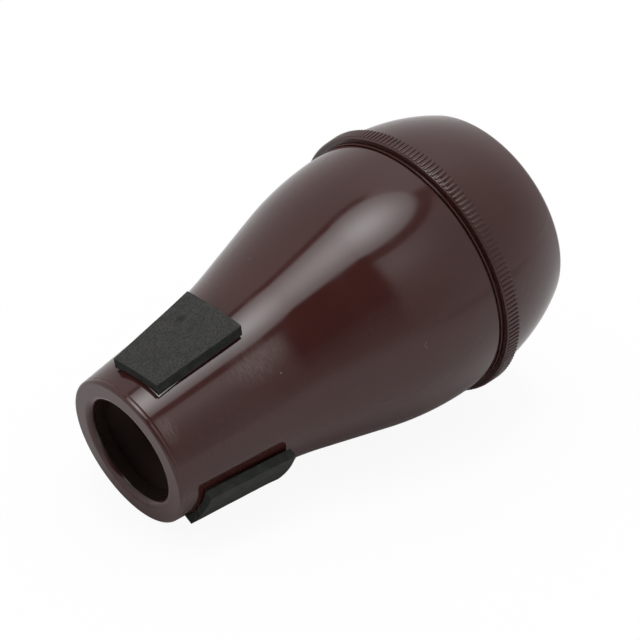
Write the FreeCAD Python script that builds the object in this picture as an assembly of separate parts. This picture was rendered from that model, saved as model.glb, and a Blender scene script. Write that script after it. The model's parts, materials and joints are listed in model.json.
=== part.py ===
import FreeCAD, Part
import math
import os

# Straight mute for a trumpet, lying on a table on its mouth lip and its belly.
# A tapered moulded shell is closed at its wide end by a screwed end cap with a ribbed grip.
# Three foam pads round the neck wedge the mute in the bell of the instrument.
# Every piece is drawn upright, with the mute's axis on Z and the mouth face at zero,
# and is then leaned over and set down on the table. Lengths are in millimetres.

# Driving dimensions of the shell
mouth_radius = 21.546
lip_wall = 6.35
lip_outer_round = 0.85
lip_inner_round = 2.0
lip_depth = 5.0
lip_undercut = 1.6
shell_wall = 2.5
neck_taper = 6.3
neck_length = 28.5
flare_angle = 16.5
flare_radius = 117.0
belly_radius = 95.5
body_radius = 39.05
body_parallel = 2.6
flange_stand = 0.25
flange_thickness = 0.7
flange_round = 0.1

# Driving dimensions of the screwed joint between shell and cap
spigot_length = 10.0
spigot_wall = 2.2
spigot_lead = 0.5
thread_pitch = 4.0
thread_height = 0.9
thread_clearance = 0.3
thread_base = 2.0
thread_crest = 1.2
thread_turns = 1.5
thread_root_sink = 0.4
thread_start_gap = 0.2

# Driving dimensions of the end cap
cap_wall = 2.4
cap_bore_wall = 3.0
seam_gap = 0.25
grip_length = 4.5
grip_stand = 2.2
grip_slope = 0.35
grip_front_chamfer = 0.5
grip_back_chamfer = 0.25
grip_back_round = 0.6
rib_count = 180
rib_depth = 0.32
rib_seat = 0.3
rib_crest_share = 0.58
rib_root_share = 0.9
side_radius = 63.0
side_stand = 0.35
side_widest_from_flange = 3.0
side_angle = 25.8
shoulder_radius = 4.0
crown_radius = 120.0

# Driving dimensions of the gasket between flange and cap
gasket_thickness = 1.0
gasket_play = 0.2
counterbore_wall = 0.7

# Driving dimensions of the foam pads and their adhesive films.
# The pads are stuck on by hand, and the near one sits a few degrees lower than a third of a turn.
pad_length = 27.5
top_pad_station = 7.1
side_pad_station = 5.5
near_pad_slip = 4.5
pad_mouth_width = 16.8
pad_wide_width = 21.2
pad_thickness = 2.6
pad_under_bend = 26.0
pad_outer_bend = 70.0
pad_sections = 5
film_thickness = 0.15
film_inset = 0.3
glue_gap = 0.03

# Sizes worked out from the driving ones
taper = math.radians(neck_taper)
flare = math.radians(flare_angle)
side_turn = math.radians(side_angle)
rib_pitch = 2 * math.pi / rib_count


def at(radius, station):
    """A point of a turned outline: radius along X, station along the axis."""
    return FreeCAD.Vector(radius, 0, station)


def heading(angle):
    """Unit step across the outline plane. Zero points outward, a quarter turn towards the cap."""
    return at(math.cos(angle), math.sin(angle))


def line(start, end):
    return Part.LineSegment(start, end).toShape()


def arc(centre, radius, start_angle, end_angle):
    """A round stretch of an outline between two headings."""
    middle_angle = (start_angle + end_angle) / 2
    points = [centre + heading(angle) * radius for angle in (start_angle, middle_angle, end_angle)]
    return Part.Arc(*points).toShape()


def turned(edges):
    """A solid of revolution about the axis from a closed chain of edges."""
    face = Part.Face(Part.Wire(edges))
    solid = face.revolve(at(0, 0), heading(math.pi / 2), 360)
    if solid.Volume < 0:
        solid.reverse()
    return solid


def chain(points):
    """Straight edges from each point to the next."""
    return [line(points[i], points[i + 1]) for i in range(len(points) - 1)]


# The flank of the shell is a cone, an outward arc, a steeper cone and an inward arc, each
# tangent to the next. The inside of the wall is drawn on the same centres.

lip_centre = at(mouth_radius - lip_outer_round, lip_outer_round)
neck_start = lip_centre + heading(-taper) * lip_outer_round
neck_rise = neck_length - neck_start.z
neck_end = at(neck_start.x + math.tan(taper) * neck_rise, neck_length)
flare_centre = neck_end + heading(-taper) * flare_radius
flare_start = flare_centre - heading(-flare) * flare_radius
belly_drop = belly_radius * (1 - math.cos(flare))
flare_run = (body_radius - belly_drop - flare_start.x) / math.sin(flare)
flare_end = flare_start + at(math.sin(flare), math.cos(flare)) * flare_run
belly_centre = flare_end - heading(-flare) * belly_radius

# Stations and radii of the joint between shell and cap
body_length = belly_centre.z + body_parallel
flange_radius = body_radius + flange_stand
flange_end = body_length + flange_thickness
gasket_end = flange_end + gasket_thickness
spigot_end = flange_end + spigot_length
cap_front = flange_end + seam_gap
grip_end = cap_front + grip_length
side_centre = at(body_radius + side_stand - side_radius, flange_end + side_widest_from_flange)
cap_bore_radius = body_radius + side_stand - cap_bore_wall
spigot_radius = cap_bore_radius - thread_clearance - thread_height
spigot_bore_radius = spigot_radius - spigot_wall
thread_station = gasket_end + thread_start_gap + thread_base / 2
grip_back_radius = body_radius + grip_stand
grip_front_radius = grip_back_radius - grip_slope
valley_radius = grip_front_radius - rib_depth


def flank(depth):
    """The flank at a depth under the outer surface, from the mouth to the wide end."""
    neck_inward = heading(-taper) * depth
    steep_inward = heading(-flare) * depth
    edges = [line(neck_start - neck_inward, neck_end - neck_inward)]
    edges.append(arc(flare_centre, flare_radius + depth, math.pi - taper, math.pi - flare))
    edges.append(line(flare_start - steep_inward, flare_end - steep_inward))
    edges.append(arc(belly_centre, belly_radius - depth, -flare, 0))
    return edges


def body_radius_at(station):
    """Outer radius of the shell between the mouth and the wide end."""
    if station <= neck_end.z:
        return neck_end.x - math.tan(taper) * (neck_end.z - station)
    if station <= flare_start.z:
        return flare_centre.x - math.sqrt(flare_radius ** 2 - (station - flare_centre.z) ** 2)
    if station <= flare_end.z:
        return flare_start.x + math.tan(flare) * (station - flare_start.z)
    return belly_centre.x + math.sqrt(belly_radius ** 2 - (belly_centre.z - station) ** 2)


def thread_ridge(root_radius, outward, first_angle):
    """One raised helical ridge. Outward is 1 on a spigot and -1 inside a bore."""
    sunk = root_radius - outward * thread_root_sink
    crest = root_radius + outward * thread_height
    section = chain([
        at(sunk, thread_station - thread_base / 2),
        at(crest, thread_station - thread_crest / 2),
        at(crest, thread_station + thread_crest / 2),
        at(sunk, thread_station + thread_base / 2),
        at(sunk, thread_station - thread_base / 2),
    ])
    path = Part.makeHelix(thread_pitch, thread_pitch * thread_turns, root_radius)
    path.translate(at(0, thread_station))
    ridge = Part.Wire(path).makePipeShell([Part.Wire(section)], True, True)
    ridge.rotate(at(0, 0), heading(math.pi / 2), math.degrees(first_angle))
    return ridge


def shell():
    """Moulded shell: rolled lip, neck, flare, seam flange and threaded spigot, all hollow."""
    lip_bore_radius = mouth_radius - lip_wall
    lip_inner_centre = at(lip_bore_radius + lip_inner_round, lip_inner_round)
    flange_inset = at(flange_radius - flange_round, 0)
    hollow_start_station = lip_depth + lip_undercut
    neck_inside = neck_end - heading(-taper) * shell_wall
    hollow_start_rise = neck_inside.z - hollow_start_station
    hollow_start = at(neck_inside.x - math.tan(taper) * hollow_start_rise, hollow_start_station)
    edges = [line(at(lip_inner_centre.x, 0), at(lip_centre.x, 0))]
    edges.append(arc(lip_centre, lip_outer_round, -math.pi / 2, -taper))
    edges += flank(0)
    edges += chain([
        at(body_radius, belly_centre.z),
        at(body_radius, body_length),
        at(flange_inset.x, body_length),
    ])
    edges.append(arc(at(flange_inset.x, body_length + flange_round), flange_round, -math.pi / 2, 0))
    edges += chain([
        at(flange_radius, body_length + flange_round),
        at(flange_radius, flange_end - flange_round),
    ])
    edges.append(arc(at(flange_inset.x, flange_end - flange_round), flange_round, 0, math.pi / 2))
    edges += chain([
        at(flange_inset.x, flange_end),
        at(spigot_radius, flange_end),
        at(spigot_radius, spigot_end - spigot_lead),
        at(spigot_radius - spigot_lead, spigot_end),
        at(spigot_bore_radius, spigot_end),
        at(spigot_bore_radius, body_length),
        at(body_radius - shell_wall, belly_centre.z),
    ])
    inside = flank(shell_wall)
    inside[0] = line(hollow_start, neck_inside)
    edges += reversed(inside)
    edges += chain([
        hollow_start,
        at(lip_bore_radius, lip_depth),
        at(lip_bore_radius, lip_inner_round),
    ])
    edges.append(arc(lip_inner_centre, lip_inner_round, -math.pi, -math.pi / 2))
    return turned(edges).fuse(thread_ridge(spigot_radius, 1, math.pi))


def rib_ring():
    """The ribbed grip: straight ribs cut to a slightly conical, chamfered ring."""
    tip_radius = grip_back_radius + rib_depth
    root_half = rib_pitch * rib_root_share / 2
    crest_half = rib_pitch * rib_crest_share / 2
    narrowing = (root_half - crest_half) / (grip_back_radius - valley_radius)
    tip_half = root_half - narrowing * (tip_radius - valley_radius)
    corners = []
    for rib in range(rib_count):
        middle = (rib + 1 / 2) * rib_pitch
        for radius, angle in (
            (valley_radius, middle - root_half),
            (tip_radius, middle - tip_half),
            (tip_radius, middle + tip_half),
            (valley_radius, middle + root_half),
        ):
            corners.append(FreeCAD.Vector(radius * math.cos(angle), radius * math.sin(angle), cap_front))
    corners.append(corners[0])
    ribs = Part.Face(Part.makePolygon(corners)).extrude(at(0, grip_length))
    envelope = turned(chain([
        at(grip_core_radius - rib_seat, cap_front),
        at(grip_front_radius - grip_front_chamfer, cap_front),
        at(grip_front_radius, cap_front + grip_front_chamfer),
        at(grip_back_radius, grip_end - grip_back_chamfer),
        at(grip_back_radius - grip_back_chamfer, grip_end),
        at(grip_core_radius - rib_seat, grip_end),
        at(grip_core_radius - rib_seat, cap_front),
    ]))
    return ribs.common(envelope)


# A small round runs from the back of the grip into the side of the cap
grip_round_reach = side_radius + grip_back_round
grip_round_turn = math.asin((grip_end + grip_back_round - side_centre.z) / grip_round_reach)
grip_round_centre = side_centre + heading(grip_round_turn) * grip_round_reach
grip_core_radius = grip_round_centre.x
counterbore_radius = grip_core_radius - counterbore_wall

# The side arc of the cap runs into a tight shoulder, and that into the shallow crown
shoulder_centre = side_centre + heading(side_turn) * (side_radius - shoulder_radius)
crown_reach = crown_radius - shoulder_radius
crown_half = math.asin(shoulder_centre.x / crown_reach)
crown_centre = at(0, shoulder_centre.z - crown_reach * math.cos(crown_half))
crown_turn = math.pi / 2 - crown_half


def end_cap():
    """Moulded cap: ribbed grip, curved side, tight shoulder and crown, with a threaded bore."""
    bore_turn = math.acos((cap_bore_radius - side_centre.x) / (side_radius - cap_wall))
    bore_end = side_centre + heading(bore_turn) * (side_radius - cap_wall)
    edges = chain([
        at(counterbore_radius, cap_front),
        at(grip_core_radius, cap_front),
        at(grip_core_radius, grip_end),
    ])
    edges.append(arc(grip_round_centre, grip_back_round, -math.pi / 2, grip_round_turn - math.pi))
    edges.append(arc(side_centre, side_radius, grip_round_turn, side_turn))
    edges.append(arc(shoulder_centre, shoulder_radius, side_turn, crown_turn))
    edges.append(arc(crown_centre, crown_radius, crown_turn, math.pi / 2))
    edges.append(line(
        crown_centre + at(0, crown_radius),
        crown_centre + at(0, crown_radius - cap_wall),
    ))
    edges.append(arc(crown_centre, crown_radius - cap_wall, math.pi / 2, crown_turn))
    edges.append(arc(shoulder_centre, shoulder_radius - cap_wall, crown_turn, side_turn))
    edges.append(arc(side_centre, side_radius - cap_wall, side_turn, bore_turn))
    edges += chain([
        bore_end,
        at(cap_bore_radius, gasket_end),
        at(counterbore_radius, gasket_end),
        at(counterbore_radius, cap_front),
    ])
    core = turned(edges).fuse(thread_ridge(cap_bore_radius, -1, 0))
    return core.fuse(rib_ring())


def gasket():
    """Flat rubber ring in the cap's counterbore, clamped against the shell's flange."""
    inner_radius = cap_bore_radius + gasket_play
    outer_radius = counterbore_radius - gasket_play
    return turned(chain([
        at(inner_radius, flange_end),
        at(outer_radius, flange_end),
        at(outer_radius, gasket_end),
        at(inner_radius, gasket_end),
        at(inner_radius, flange_end),
    ]))


def sheet(first_station, inset, lift, thickness, outer_bend, azimuth):
    """A soft trapezoid sheet on the neck: it widens away from the mouth and follows the flare."""
    sections = []
    for index in range(pad_sections):
        share = index / (pad_sections - 1)
        run = inset + (pad_length - 2 * inset) * share
        half_width = (pad_mouth_width + (pad_wide_width - pad_mouth_width) * run / pad_length) / 2 - inset
        station = first_station + run
        under = body_radius_at(station) + lift
        under_sag = half_width ** 2 / (2 * pad_under_bend)
        outer_sag = half_width ** 2 / (2 * outer_bend)
        under_left = FreeCAD.Vector(under - under_sag, -half_width, station)
        under_right = FreeCAD.Vector(under - under_sag, half_width, station)
        outer_left = FreeCAD.Vector(under + thickness - outer_sag, -half_width, station)
        outer_right = FreeCAD.Vector(under + thickness - outer_sag, half_width, station)
        sections.append(Part.Wire([
            Part.Arc(under_left, at(under, station), under_right).toShape(),
            line(under_right, outer_right),
            Part.Arc(outer_right, at(under + thickness, station), outer_left).toShape(),
            line(outer_left, under_left),
        ]))
    solid = Part.makeLoft(sections, True, False)
    solid.rotate(at(0, 0), heading(math.pi / 2), math.degrees(azimuth))
    return solid


def foam_pad(first_station, azimuth):
    lift = 2 * glue_gap + film_thickness
    return sheet(first_station, 0, lift, pad_thickness, pad_outer_bend, azimuth)


def adhesive_film(first_station, azimuth):
    return sheet(first_station, film_inset, glue_gap, film_thickness, pad_under_bend, azimuth)


# The mute leans until the lip and either the belly or the back of the grip touch the table.
# Upright, its lowest line is on the X side, so the top pad sits half a turn round.

rest_radius = grip_back_radius * math.cos(rib_pitch * (1 - rib_crest_share) / 2)
to_belly = belly_centre - lip_centre
to_grip = at(rest_radius, grip_end - grip_back_chamfer) - lip_centre
belly_bulge = math.asin((belly_radius - lip_outer_round) / to_belly.Length)
grip_bulge = math.asin(lip_outer_round / to_grip.Length)
lean_on_belly = math.atan2(to_belly.x, to_belly.z) + belly_bulge
lean_on_grip = math.atan2(to_grip.x, to_grip.z) - grip_bulge
lean = max(lean_on_belly, lean_on_grip)
table_drop = lip_centre.z * math.sin(lean) - lip_centre.x * math.cos(lean) - lip_outer_round
mouth_reach = lip_centre.z * math.cos(lean) - lip_centre.x * math.sin(lean) - lip_outer_round
crown_top_reach = crown_centre.z * math.cos(lean) + crown_radius
middle_reach = (mouth_reach + crown_top_reach) / 2


def laid(shape):
    """Lean an upright piece over and set it on the table, centred over the origin."""
    placed = shape.copy()
    placed.rotate(at(0, 0), FreeCAD.Vector(0, 1, 0), 90 - math.degrees(lean))
    placed.translate(FreeCAD.Vector(-middle_reach, 0, -table_drop))
    return placed


top = math.pi
third = 2 * math.pi / 3
pieces = {
    "shell": shell(),
    "end_cap": end_cap(),
    "cap_gasket": gasket(),
}
for place, station, azimuth in (
    ("top", top_pad_station, top),
    ("near", side_pad_station, top + third + math.radians(near_pad_slip)),
    ("far", side_pad_station, top - third),
):
    pieces["foam_pad_" + place] = foam_pad(station, azimuth)
    pieces["adhesive_film_" + place] = adhesive_film(station, azimuth)

os.makedirs("parts", exist_ok=True)
for name, shape in pieces.items():
    placed = laid(shape)
    placed.exportStep("parts/" + name + ".step")
    print(name, "valid", placed.isValid(), "solids", len(placed.Solids), "volume", round(placed.Volume, 1))

print("lean", round(math.degrees(lean), 3), "overall length", round(crown_centre.z + crown_radius, 2))
print("body length", round(body_length, 2), "thread station", round(thread_station, 2))
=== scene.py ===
# %% [markdown]
# A straight mute for a trumpet, lying on its side.
# The real thing is a hollow moulded body of glossy maroon plastic, closed at the wide end by a
# screwed cap with a ribbed grip, and it is wedged in the bell by three foam pads round its neck.
# Nearly all of it is turned about one axis, so most pieces here are lathe work: an outline of
# radii and stations is drawn once and carried round the axis.

# %% Load the frame
import json
import math

import bmesh
import bpy
from mathutils import Matrix, Vector, noise


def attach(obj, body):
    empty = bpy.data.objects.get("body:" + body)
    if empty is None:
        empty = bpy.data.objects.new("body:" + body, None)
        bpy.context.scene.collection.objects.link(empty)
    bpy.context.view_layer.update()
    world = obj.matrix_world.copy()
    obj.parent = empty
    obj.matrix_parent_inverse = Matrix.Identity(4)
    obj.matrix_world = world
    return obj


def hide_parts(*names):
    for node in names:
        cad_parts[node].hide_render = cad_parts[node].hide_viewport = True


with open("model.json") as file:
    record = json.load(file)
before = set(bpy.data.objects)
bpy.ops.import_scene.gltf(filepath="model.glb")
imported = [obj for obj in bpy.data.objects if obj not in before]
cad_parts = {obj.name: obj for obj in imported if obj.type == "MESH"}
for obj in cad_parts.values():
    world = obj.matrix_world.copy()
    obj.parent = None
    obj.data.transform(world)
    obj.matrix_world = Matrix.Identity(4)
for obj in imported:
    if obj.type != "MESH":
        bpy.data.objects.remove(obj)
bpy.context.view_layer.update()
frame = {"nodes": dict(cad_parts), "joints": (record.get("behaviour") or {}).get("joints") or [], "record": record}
MM = 0.001
print("nodes", sorted(frame["nodes"]))

# %% [markdown]
# Every piece is easiest to draw upright: stations along Z from the mouth, radii across.
# The frame says where the mute's axis lies. The cap's hinge gives its direction and the flat
# face of the mouth gives its start, so one matrix puts each finished mesh where it belongs.
# Angles round the axis start at the top and grow towards the near side.

# %% Find the mute's own axis
cap_turn = next(joint for joint in frame["joints"] if joint["name"] == "cap_turn")
mouth_face = next(mount for mount in frame["record"]["mounts"] if mount["name"] == "mouth_face")
along = Vector(cap_turn["axis"]).normalized()
near = Vector((0, -1, 0))
top = near.cross(along)
on_axis = Vector(cap_turn["pos_m"])
mouth_centre = on_axis + along * along.dot(Vector(mouth_face["pos_m"]) - on_axis)
place = Matrix((top, near, along)).transposed().to_4x4()
place.translation = mouth_centre
print("mouth centre", [round(c, 5) for c in mouth_centre])

# %% [markdown]
# An outline is a list of points, each a radius and a station. Straight stretches and round ones
# get their own helper. A straight stretch keeps two extra points close to its ends: they hold
# its shading flat, so that a gloss finish doesn't bend the reflections beside a small round.

# %% Draw outlines
HOLD = 0.08 * MM
SHORTEST = 1e-7


def stretch(start, end, step):
    """Points along a straight stretch, with one close to each end."""
    start, end = Vector(start), Vector(end)
    length = (end - start).length
    count = max(1, round(length / step))
    shares = [index / count for index in range(count + 1)]
    if length > 3 * HOLD:
        shares = sorted(set(shares + [HOLD / length, 1 - HOLD / length]))
    return [start.lerp(end, share) for share in shares]


def bend(centre, radius, first, last, count):
    """Points round an arc in a count of steps.

    Heading zero is outward, and a quarter turn from it is towards the cap.
    """
    points = []
    for index in range(count + 1):
        heading = first + (last - first) * index / count
        points.append(Vector(centre) + Vector((math.cos(heading), math.sin(heading))) * radius)
    return points


def join(*runs):
    """One outline from several runs, each shared end point kept once."""
    outline = []
    for run in runs:
        for point in run:
            if not outline or (point - outline[-1]).length > SHORTEST:
                outline.append(point)
    return outline


# %% [markdown]
# The lathe turns an outline into rings of faces. A point on the axis becomes one pole, so that
# the crown of the cap closes. The finished mesh is put in place and its normals are recalculated,
# and edges sharper than a small round are marked so that smooth shading stops there.

# %% Build the lathe
SHARP = math.radians(33)
SAME_POINT = 1e-8
ON_THE_AXIS = 1e-7


def in_the_scene(name, data):
    """An object of its own for a mesh, a curve or a camera."""
    thing = bpy.data.objects.new(name, data)
    bpy.context.scene.collection.objects.link(thing)
    return thing


def finished(name, mesh_data, sharp=SHARP):
    """A closed mesh put in place on the mute, shaded smooth up to its sharp edges."""
    bmesh.ops.remove_doubles(mesh_data, verts=mesh_data.verts, dist=SAME_POINT)
    bmesh.ops.recalc_face_normals(mesh_data, faces=mesh_data.faces)
    mesh = bpy.data.meshes.new(name)
    mesh_data.to_mesh(mesh)
    mesh_data.free()
    mesh.transform(place)
    mesh.shade_smooth()
    mesh.set_sharp_from_angle(angle=sharp)
    return in_the_scene(name, mesh)


PAINTED_SHADING_ATTRIBUTE = "inside"


def turned(name, outline, segments, closed=True, inside=None):
    """A solid of revolution. A closed outline is a ring, an open one ends on the axis twice."""
    data = bmesh.new()
    depth_layer = data.verts.layers.float.new(PAINTED_SHADING_ATTRIBUTE) if inside else None
    rings = []
    for radius, station in outline:
        if radius < ON_THE_AXIS:
            rings.append([data.verts.new((0, 0, station))])
            continue
        ring = []
        for index in range(segments):
            angle = 2 * math.pi * index / segments
            across = (radius * math.cos(angle), radius * math.sin(angle))
            ring.append(data.verts.new((*across, station)))
            if inside:
                ring[-1][depth_layer] = inside(radius, station)
        rings.append(ring)
    pairs = list(zip(rings, rings[1:]))
    if closed:
        pairs.append((rings[-1], rings[0]))
    for first, second in pairs:
        for index in range(segments):
            after = (index + 1) % segments
            if len(first) == 1:
                data.faces.new((first[0], second[index], second[after]))
            elif len(second) == 1:
                data.faces.new((first[index], second[0], first[after]))
            else:
                data.faces.new((first[index], second[index], second[after], first[after]))
    return finished(name, data)


# %% [markdown]
# The shell is a cone, an outward arc, a steeper cone and an inward arc, each tangent to the next,
# behind a thick rounded lip. At the wide end a thin flange shows as a light line in the seam,
# and a threaded spigot goes on into the cap. The wall's inside follows the same centres. Two fine
# grooves are turned in the outside, one close behind the lip and one before the flange. An
# attribute says how deep each point lies and sets painted light and shade: 0 on the polished
# outside, 0.5 in the bore, which is painted dark as shade, 1 on the inside of the wall, which is
# painted pale as light, and a small share of its own in the seam, which is painted dark as shade.

# %% Turn the shell
MOUTH_RADIUS = 21.546 * MM
LIP_WALL = 6.35 * MM
LIP_OUTER_ROUND = 0.85 * MM
LIP_INNER_ROUND = 2 * MM
LIP_DEPTH = 5 * MM
LIP_UNDERCUT = 8 * MM
SHELL_WALL = 2.5 * MM
NECK_TAPER = math.radians(6.3)
NECK_LENGTH = 28.5 * MM
FLARE_ANGLE = math.radians(16.5)
FLARE_RADIUS = 117 * MM
BELLY_RADIUS = 95.5 * MM
BODY_RADIUS = 39.05 * MM
BODY_PARALLEL = 2.6 * MM
FLANGE_STAND = 0.25 * MM
FLANGE_THICKNESS = 0.7 * MM
FLANGE_ROUND = 0.1 * MM
SPIGOT_LENGTH = 10 * MM
SPIGOT_LEAD = 0.5 * MM
SPIGOT_RADIUS = 35.2 * MM
SPIGOT_WALL = 2.2 * MM
HALF_TURN = math.pi
QUARTER = HALF_TURN / 2
FINE_STEP = 1.1 * MM
COARSE_STEP = 4 * MM
SHELL_SEGMENTS = 256
LIP_GROOVE_STATION = 1.5 * MM
LIP_GROOVE_HALF = 0.26 * MM
LIP_GROOVE_DEPTH = 0.1 * MM
SEAM_GROOVE_WIDTH = 0.55 * MM
SEAM_GROOVE_DEPTH = 0.5 * MM
SEAM_GROOVE_ROUND = 0.12 * MM
# Shares of the painted shading: painted shade in the seam and the bore, painted light on the inside of the wall.
SEAM_SHADE_SHARE = 0.2
BORE_SHADE_SHARE = 0.5
INSIDE_LIGHT_SHARE = 1.0
JUST_OVER = 1.01


def spoke(heading, length):
    """A step of a length along a heading in the outline's plane."""
    return Vector((math.cos(heading), math.sin(heading))) * length


lip_centre = Vector((MOUTH_RADIUS - LIP_OUTER_ROUND, LIP_OUTER_ROUND))
neck_start = lip_centre + spoke(-NECK_TAPER, LIP_OUTER_ROUND)
neck_end = neck_start + Vector((math.tan(NECK_TAPER), 1)) * (NECK_LENGTH - neck_start.y)
flare_centre = neck_end + spoke(-NECK_TAPER, FLARE_RADIUS)
flare_start = flare_centre - spoke(-FLARE_ANGLE, FLARE_RADIUS)
belly_drop = BELLY_RADIUS * (1 - math.cos(FLARE_ANGLE))
flare_run = (BODY_RADIUS - belly_drop - flare_start.x) / math.sin(FLARE_ANGLE)
flare_end = flare_start + spoke(QUARTER - FLARE_ANGLE, flare_run)
belly_centre = flare_end - spoke(-FLARE_ANGLE, BELLY_RADIUS)
body_length = belly_centre.y + BODY_PARALLEL
flange_end = body_length + FLANGE_THICKNESS
spigot_end = flange_end + SPIGOT_LENGTH


def neck_point(station, depth):
    """A point at a depth under the neck's outer surface."""
    slope = math.tan(NECK_TAPER)
    return Vector((neck_end.x - slope * (neck_end.y - station) - depth, station))


def flank(depth, step, start=neck_start):
    """The flank at a depth under the outer surface, from the mouth to the wide end."""
    shallow = spoke(-NECK_TAPER, depth)
    steep = spoke(-FLARE_ANGLE, depth)
    flare_count = round(FLARE_RADIUS * (FLARE_ANGLE - NECK_TAPER) / step)
    belly_count = round(BELLY_RADIUS * FLARE_ANGLE / step)
    flare_from, flare_to = HALF_TURN - NECK_TAPER, HALF_TURN - FLARE_ANGLE
    return join(
        stretch(start - shallow, neck_end - shallow, step),
        bend(flare_centre, FLARE_RADIUS + depth, flare_from, flare_to, flare_count),
        stretch(flare_start - steep, flare_end - steep, step),
        bend(belly_centre, BELLY_RADIUS - depth, -FLARE_ANGLE, 0, belly_count),
    )


def shell_outline():
    lip_bore = MOUTH_RADIUS - LIP_WALL
    inner_centre = Vector((lip_bore + LIP_INNER_ROUND, LIP_INNER_ROUND))
    flange_rim = BODY_RADIUS + FLANGE_STAND - FLANGE_ROUND
    groove_start = body_length - SEAM_GROOVE_WIDTH
    groove_floor = BODY_RADIUS - SEAM_GROOVE_DEPTH
    round_start = groove_start - SEAM_GROOVE_ROUND
    groove_round = (BODY_RADIUS - SEAM_GROOVE_ROUND, round_start)
    spigot_lead_start = spigot_end - SPIGOT_LEAD
    under_the_wall = flank(SHELL_WALL, COARSE_STEP)
    inside = [point for point in under_the_wall if point.y > LIP_DEPTH + LIP_UNDERCUT]
    spigot_bore = SPIGOT_RADIUS - SPIGOT_WALL
    spigot_bore_lead = (spigot_bore + SPIGOT_LEAD, spigot_end)
    return join(
        stretch((inner_centre.x, 0), (lip_centre.x, 0), COARSE_STEP),
        bend(lip_centre, LIP_OUTER_ROUND, -QUARTER, -NECK_TAPER, 10),
        stretch(neck_start, neck_point(LIP_GROOVE_STATION - LIP_GROOVE_HALF, 0), COARSE_STEP),
        [neck_point(LIP_GROOVE_STATION, LIP_GROOVE_DEPTH)],
        flank(0, FINE_STEP, neck_point(LIP_GROOVE_STATION + LIP_GROOVE_HALF, 0)),
        stretch((BODY_RADIUS, belly_centre.y), (BODY_RADIUS, round_start), FINE_STEP),
        bend(groove_round, SEAM_GROOVE_ROUND, 0, QUARTER, 3),
        stretch((groove_floor, groove_start), (groove_floor, body_length), COARSE_STEP),
        stretch((groove_floor, body_length), (flange_rim, body_length), COARSE_STEP),
        bend((flange_rim, body_length + FLANGE_ROUND), FLANGE_ROUND, -QUARTER, 0, 4),
        bend((flange_rim, flange_end - FLANGE_ROUND), FLANGE_ROUND, 0, QUARTER, 4),
        stretch((flange_rim, flange_end), (SPIGOT_RADIUS, flange_end), COARSE_STEP),
        stretch((SPIGOT_RADIUS, flange_end), (SPIGOT_RADIUS, spigot_lead_start), COARSE_STEP),
        [Vector((SPIGOT_RADIUS - SPIGOT_LEAD, spigot_end))],
        stretch(spigot_bore_lead, (spigot_bore, spigot_lead_start), COARSE_STEP),
        [Vector((spigot_bore, body_length))],
        list(reversed(inside)),
        stretch((lip_bore, LIP_DEPTH), (lip_bore, LIP_INNER_ROUND), COARSE_STEP),
        bend(inner_centre, LIP_INNER_ROUND, -HALF_TURN, -QUARTER, 16)[:-1],
    )


def shell_radius(station):
    """Outer radius of the shell along its neck, its flare and the cone behind it."""
    if station <= neck_end.y:
        return neck_end.x - math.tan(NECK_TAPER) * (neck_end.y - station)
    if station <= flare_start.y:
        return flare_centre.x - math.sqrt(FLARE_RADIUS ** 2 - (station - flare_centre.y) ** 2)
    return flare_start.x + math.tan(FLARE_ANGLE) * (station - flare_start.y)


def painted_shading_share(radius, station):
    """How deep a point of the shell lies, from its radius and station, for its painted light and shade."""
    if station > body_length - SEAM_GROOVE_WIDTH * JUST_OVER:
        in_seam = radius < BODY_RADIUS - SEAM_GROOVE_ROUND * JUST_OVER
        return SEAM_SHADE_SHARE if in_seam else 0.0
    if station < LIP_INNER_ROUND * 0.7:
        return 0.0
    if station <= LIP_DEPTH:
        in_bore = radius < MOUTH_RADIUS - LIP_WALL + LIP_INNER_ROUND * 0.3
        return BORE_SHADE_SHARE if in_bore else 0.0
    lip_side = station < LIP_DEPTH + LIP_UNDERCUT
    outer = neck_point(station, 0).x if lip_side else min(shell_radius(station), BODY_RADIUS)
    return INSIDE_LIGHT_SHARE if radius < outer - SHELL_WALL * 0.6 else 0.0


shell = turned("mute_shell", shell_outline(), SHELL_SEGMENTS, inside=painted_shading_share)
print("shell faces", len(shell.data.polygons), "body length", round(body_length / MM, 2), "mm")

# %% [markdown]
# The cap carries on from the shell. Under the ribs its grip is a plain ring, a little wider at the
# back. Behind it a small round runs into a long side arc, a tight shoulder and a shallow crown.
# Inside, a bore takes the spigot, and a shallow counterbore holds a rubber seal against the flange.

# %% Turn the cap and its seal
CAP_WALL = 2.4 * MM
CAP_BORE_RADIUS = 36.4 * MM
SEAM_GAP = 0.25 * MM
GRIP_LENGTH = 4.5 * MM
GRIP_STAND = 2.2 * MM
GRIP_SLOPE = 0.15 * MM
GRIP_BACK_ROUND = 0.6 * MM
RIB_DEPTH = 0.32 * MM
RING_FRONT_DROP = 0.3 * MM
SIDE_RADIUS = 63 * MM
SIDE_STAND = 0.35 * MM
SIDE_WIDEST_FROM_FLANGE = 3 * MM
SIDE_ANGLE = math.radians(25.8)
SHOULDER_RADIUS = 4 * MM
CROWN_RADIUS = 120 * MM
GASKET_THICKNESS = 1 * MM
GASKET_PLAY = 0.2 * MM
GASKET_ROUND = 0.12 * MM
COUNTERBORE_WALL = 0.7 * MM
CAP_SEGMENTS = 256
GASKET_SEGMENTS = 192

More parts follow.
